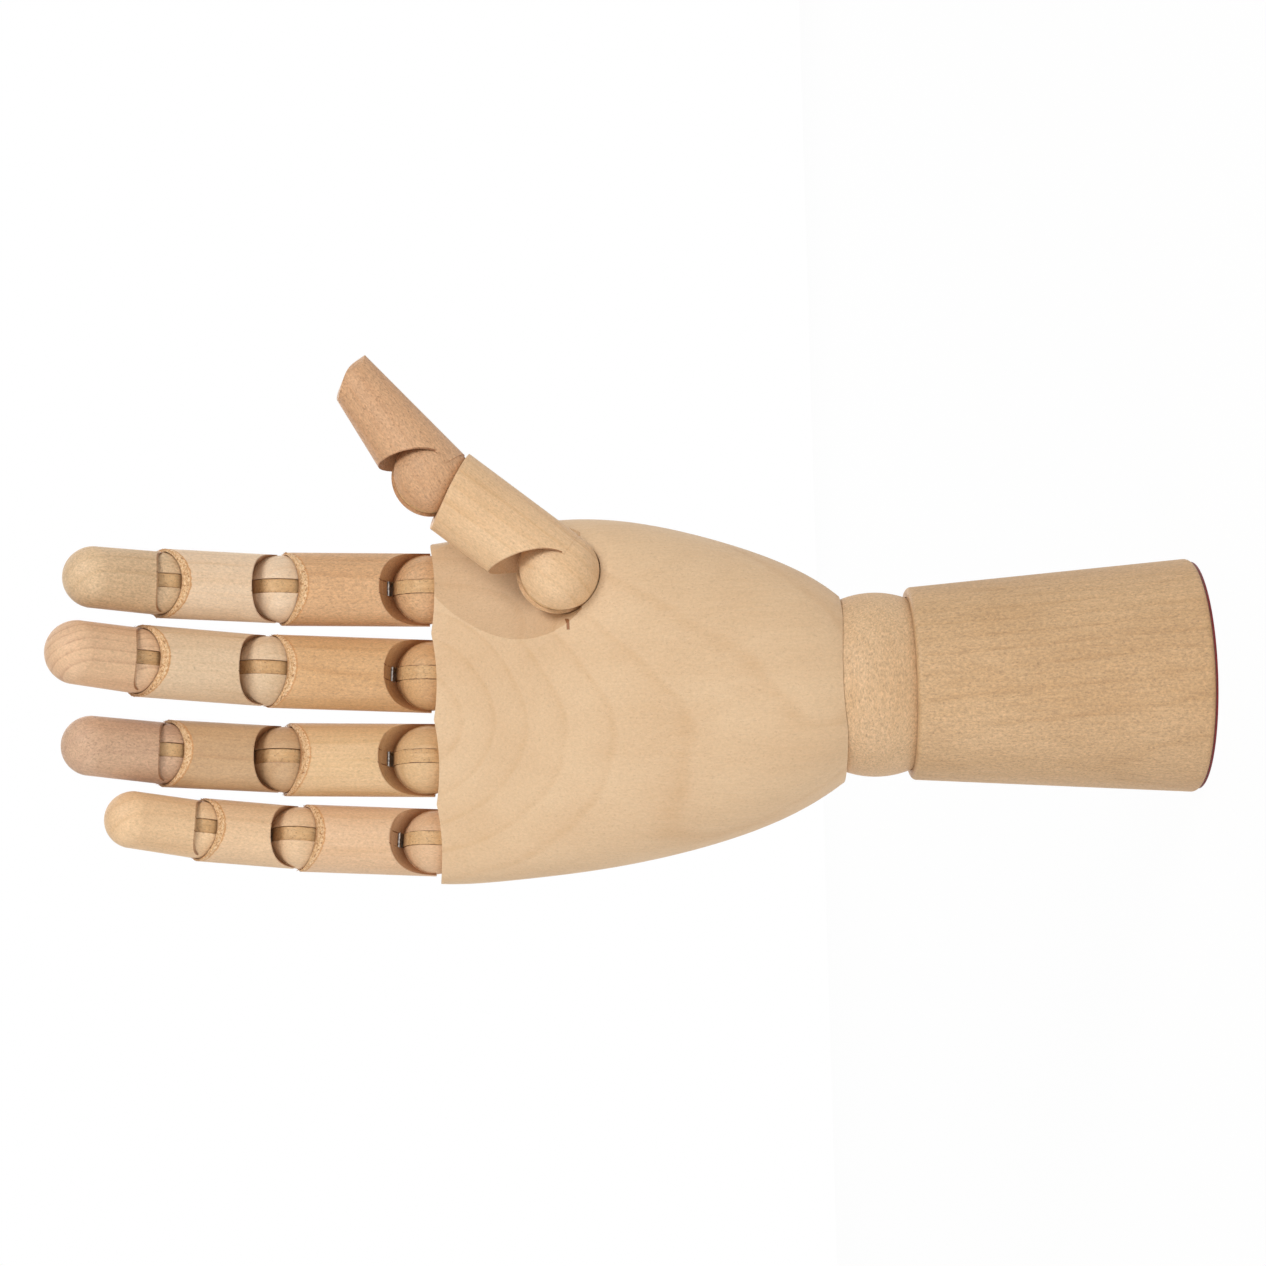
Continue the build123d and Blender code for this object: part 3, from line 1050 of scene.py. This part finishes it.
@dataclass
class Studio:
    """Plain pale floor, soft lamps and the camera at the photograph's angle."""

    eye: tuple[float, float, float] = (0.00883, -0.3956, 0.0838)
    roll: float = -0.0301
    lens_mm: float = 75.0
    sensor_mm: float = 36.0
    nearest_m: float = 0.01
    floor_m: float = 1.6
    floor_glow: float = 0.97
    air: float = 0.36
    aim: tuple[float, float, float] = (0.0, 0.0, 0.09)

    def build(self) -> None:
        """Build the floor, the lamps, the world, the camera and the plain colour view."""
        self._floor()
        for lamp in LAMPS:
            self._hang(lamp)
        self._world()
        self._camera()
        bpy.context.scene.view_settings.view_transform = "Standard"

    def _floor(self) -> None:
        """Add the floor, which looks white to the camera and still holds the shadow."""
        bpy.ops.object.select_all(action="DESELECT")
        bpy.ops.mesh.primitive_plane_add(size=self.floor_m, location=(0, 0, 0))
        floor = bpy.context.object
        floor.name = "studio_floor"
        bpy.ops.object.transform_apply(location=True, rotation=True, scale=True)
        material, tree = fresh_material("matt_white_paper")
        spot = wire(tree, "ShaderNodeTexCoord", out="Object")
        tooth = wire(tree, "ShaderNodeTexNoise", {"Vector": spot, "Scale": 900.0, "Detail": 3.0})
        tone = wire(
            tree,
            "ShaderNodeValToRGB",
            {"Fac": tooth},
            stops=((0.3, linear("#f4f3f1")), (0.7, linear("#fbfaf9"))),
        )
        paper = wire(tree, "ShaderNodeBsdfDiffuse", {"Color": tone})
        glow = wire(tree, "ShaderNodeEmission", {"Color": WHITE, "Strength": 1.0})
        seen = self._seen(tree, "Is Camera Ray", "Is Glossy Ray")
        share = wire(tree, "ShaderNodeMath", {0: seen, 1: self.floor_glow}, operation="MULTIPLY")
        surface = wire(tree, "ShaderNodeMixShader", {0: share, 1: paper, 2: glow})
        wire(tree, "ShaderNodeOutputMaterial", {"Surface": surface})
        dress(floor, material)

    def _seen(self, tree: bpy.types.NodeTree, *kinds: str) -> bpy.types.NodeSocket:
        """Pick out some kinds of ray.

        Args:
            tree: node tree.
            kinds: outputs of the light path node.

        Returns:
            1 for a ray of one of these kinds and 0 for any other.
        """
        rays = wire(tree, "ShaderNodeLightPath", out=kinds[0]).node.outputs
        seen = rays[kinds[0]]
        for kind in kinds[1:]:
            seen = wire(tree, "ShaderNodeMath", {0: seen, 1: rays[kind]}, operation="MAXIMUM")
        return seen

    def _hang(self, lamp: Lamp) -> None:
        """Add one square lamp that looks at the hand.

        Args:
            lamp: its name, place, side and power.
        """
        light = bpy.data.lights.new(lamp.name, "AREA")
        light.shape = "SQUARE"
        light.size = lamp.side
        light.energy = lamp.watts
        hung = bpy.data.objects.new(lamp.name, light)
        bpy.context.collection.objects.link(hung)
        hung.location = lamp.place
        beam = Vector(self.aim) - Vector(lamp.place)
        hung.rotation_euler = beam.to_track_quat("-Z", "Y").to_euler()

    def _world(self) -> None:
        """White surroundings for the camera and for glossy rays, softer for the lighting."""
        world = bpy.data.worlds.new("studio_air")
        world.use_nodes = True
        bpy.context.scene.world = world
        tree = world.node_tree
        tree.nodes.clear()
        seen = self._seen(tree, "Is Camera Ray", "Is Glossy Ray", "Is Transmission Ray")
        soft = wire(tree, "ShaderNodeBackground", {"Color": WHITE, "Strength": self.air})
        white = wire(tree, "ShaderNodeBackground", {"Color": WHITE, "Strength": 1.0})
        sky = wire(tree, "ShaderNodeMixShader", {0: seen, 1: soft, 2: white})
        wire(tree, "ShaderNodeOutputWorld", {"Surface": sky})

    def _camera(self) -> None:
        """Place the camera where the photograph was taken from."""
        data = bpy.data.cameras.new("photo_camera")
        data.lens = self.lens_mm
        data.sensor_width = self.sensor_mm
        data.clip_start = self.nearest_m
        camera = bpy.data.objects.new("photo_camera", data)
        bpy.context.collection.objects.link(camera)
        right = Vector((self.roll, 0.0, -1.0)).normalized()
        back = Vector((0.0, -1.0, 0.0))
        up = back.cross(right)
        turn = Matrix((right, up, back)).transposed().to_4x4()
        camera.matrix_world = Matrix.Translation(self.eye) @ turn
        bpy.context.scene.camera = camera


def bones_of(
    joints: dict[str, dict], names: tuple[str, ...], last_bend: float, last_m: float
) -> list[Bone]:
    """Work out the frames of a digit's phalanges from its hinges.

    Args:
        joints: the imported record's joints by name.
        names: the digit's hinges, from the palm out.
        last_bend: bend of the last hinge at rest, in degrees.
        last_m: length of the last phalanx, in metres.

    Returns:
        One frame for each phalanx.
    """
    turn = -1 if names[0].startswith("thumb") else 1
    bones: list[Bone] = []
    for i, name in enumerate(names):
        start = Vector(joints[name]["pos_m"])
        across = turn * Vector(joints[name]["axis"])
        if i + 1 < len(names):
            reach = Vector(joints[names[i + 1]]["pos_m"]) - start
            bones.append(Bone(start, across.normalized(), reach.normalized(), reach.length))
        else:
            spin = Matrix.Rotation(math.radians(last_bend), 3, across)
            bones.append(Bone(start, across.normalized(), spin @ bones[-1].along, last_m))
    return bones


FINGER_RADII = {
    "index": (5.5, 5.12, 4.65),
    "middle": (5.5, 5.3, 4.8),
    "ring": (5.5, 5.0, 4.55),
    "little": (5.05, 4.7, 4.3),
}
FINGER_TIPS = {"index": 15.5, "middle": 15.0, "ring": 16.2, "little": 15.1}
FINGER_RIMS = ((0.10, 0.214), (0.10, 0.17))
FINGER_RELIEFS = ((1.29, 0.98), (1.16, 0.755), (0.94, 0.355))
FINGER_BALLS = (0.94, 0.985, 0.985)
FINGER_SEED = 1.3
FINGER_FEATURES = {
    ("middle", 2): {"ring": 0.75, "ring_mm": 1.3, "wander_mm": 0.9},
    ("ring", 2): {"nap": 1.0, "speckle": 0.9},
    ("index", 2): {"speckle": 1.0},
    ("index", 0): {"speckle": 1.0, "nap": 0.8},
    ("middle", 0): {"speckle": 0.9},
}
FINGER_TONES = {
    "index": (("#e2bb91", "#bd8c5c"), ("#f0dcc2", "#d2ac83"), ("#e8cba5", "#bb976f")),
    "middle": (("#e3bc8e", "#bc8c59"), ("#ebd2b3", "#c3a179"), ("#f0cda3", "#c79c7b")),
    "ring": (("#e7c79e", "#c39863"), ("#d9b990", "#b0875f"), ("#dfbb97", "#b28a72")),
    "little": (("#e8c8a6", "#ca9d71"), ("#edcea9", "#cba379"), ("#f6d6ad", "#cea477")),
}
THUMB_HINGES = ("thumb_base_joint", "thumb_tip_joint")
THUMB_RADII = (6.05, 5.8)
THUMB_TIP = 20.2
THUMB_TIP_BEND = -16.0
THUMB_RIMS = ((-0.40, 0.085),)
THUMB_RELIEFS = ((1.35, 0.82), (1.13, 0.375))
THUMB_BALLS = (1.0, 0.985)
THUMB_SEED = 8.1
HIDDEN_STEEL = ("wrist_spring", "spring_washer", "draw_rod", "palm_eye")


def main() -> None:
    """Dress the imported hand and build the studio."""
    logging.basicConfig(level=logging.INFO, format="%(name)s: %(message)s")
    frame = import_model()
    bpy.ops.object.select_all(action="DESELECT")
    nodes = frame["nodes"]
    joints = {joint["name"]: joint for joint in frame["joints"]}

    Wrist(
        ball_wood=Hardwood(
            name="turned_ball_wood",
            pale="#e1c199",
            deep="#bb9165",
            ring=0.10,
            streak=0.50,
            speckle=1.15,
            pore=0.16,
        ),
        forearm_wood=Hardwood(
            name="turned_forearm_wood",
            pale="#dcba91",
            deep="#ae8557",
            ring=0.22,
            streak=0.44,
            speckle=1.05,
            pore=0.14,
        ),
    ).build(nodes)
    PalmBlock(
        wood=Hardwood(
            name="flat_sawn_palm_wood",
            pale="#e8ceab",
            deep="#c3996c",
            ring=0.22,
            ring_mm=3.3,
            wander_mm=1.1,
            streak=0.22,
            cloud=0.40,
            speckle=0.34,
            pore=0.06,
            zone=Zone.PALM,
        )
    ).build(nodes)
    strip = Hardwood(name="sawn_strip", pale="#e3c090", deep="#b98b58", streak=0.9, pore=0.3)
    for i, (name, tones) in enumerate(FINGER_TONES.items()):
        hinges = tuple(f"{name}_{part}" for part in ("knuckle", "middle_joint", "tip_joint"))
        tip_bend = -joints[hinges[-1]]["range_deg"][0]
        Digit(
            name=name,
            bones=bones_of(joints, hinges, tip_bend, FINGER_TIPS[name] * MM),
            parts=("proximal", "middle", "distal"),
            radii_mm=FINGER_RADII[name],
            woods=tuple(
                replace(
                    Hardwood(name="phalanx_wood", pale=pale, deep=deep),
                    **FINGER_FEATURES.get((name, place), {}),
                )
                for place, (pale, deep) in enumerate(tones)
            ),
            tongues={"knuckle_tongue": 0, "middle_tongue": 1, "tip_tongue": 2},
            tongue_wood=strip,
            seed=FINGER_SEED * (i + 1),
            rims=FINGER_RIMS,
            reliefs=FINGER_RELIEFS,
            balls=FINGER_BALLS,
        ).build(nodes)
    Digit(
        name="thumb",
        bones=bones_of(joints, THUMB_HINGES, THUMB_TIP_BEND, THUMB_TIP * MM),
        parts=("proximal", "distal"),
        radii_mm=THUMB_RADII,
        woods=(
            Hardwood(name="thumb_wood", pale="#eccda6", deep="#c99c6c"),
            Hardwood(name="thumb_wood", pale="#dab189", deep="#b5835a", speckle=1.1, nap=0.9),
        ),
        tongues={"root_tongue": 0, "tip_tongue": 1},
        tongue_wood=strip,
        seed=THUMB_SEED,
        rims=THUMB_RIMS,
        reliefs=THUMB_RELIEFS,
        balls=THUMB_BALLS,
        fringed=False,
    ).build(nodes)
    steel = DrawnSteel().build()
    # The keepers get a steel tinted far lighter than the other steel: a painted glint in the dark
    # slot.
    bright = DrawnSteel(name="bright_keeper_wire", tint="#f2f1ee", rough=0.42).build()
    for name, piece in nodes.items():
        if name.endswith("_keeper"):
            dress(piece, bright)
        elif name.endswith("_pin") or name in HIDDEN_STEEL:
            dress(piece, steel)
    Studio().build()


if __name__ == "__main__":
    main()
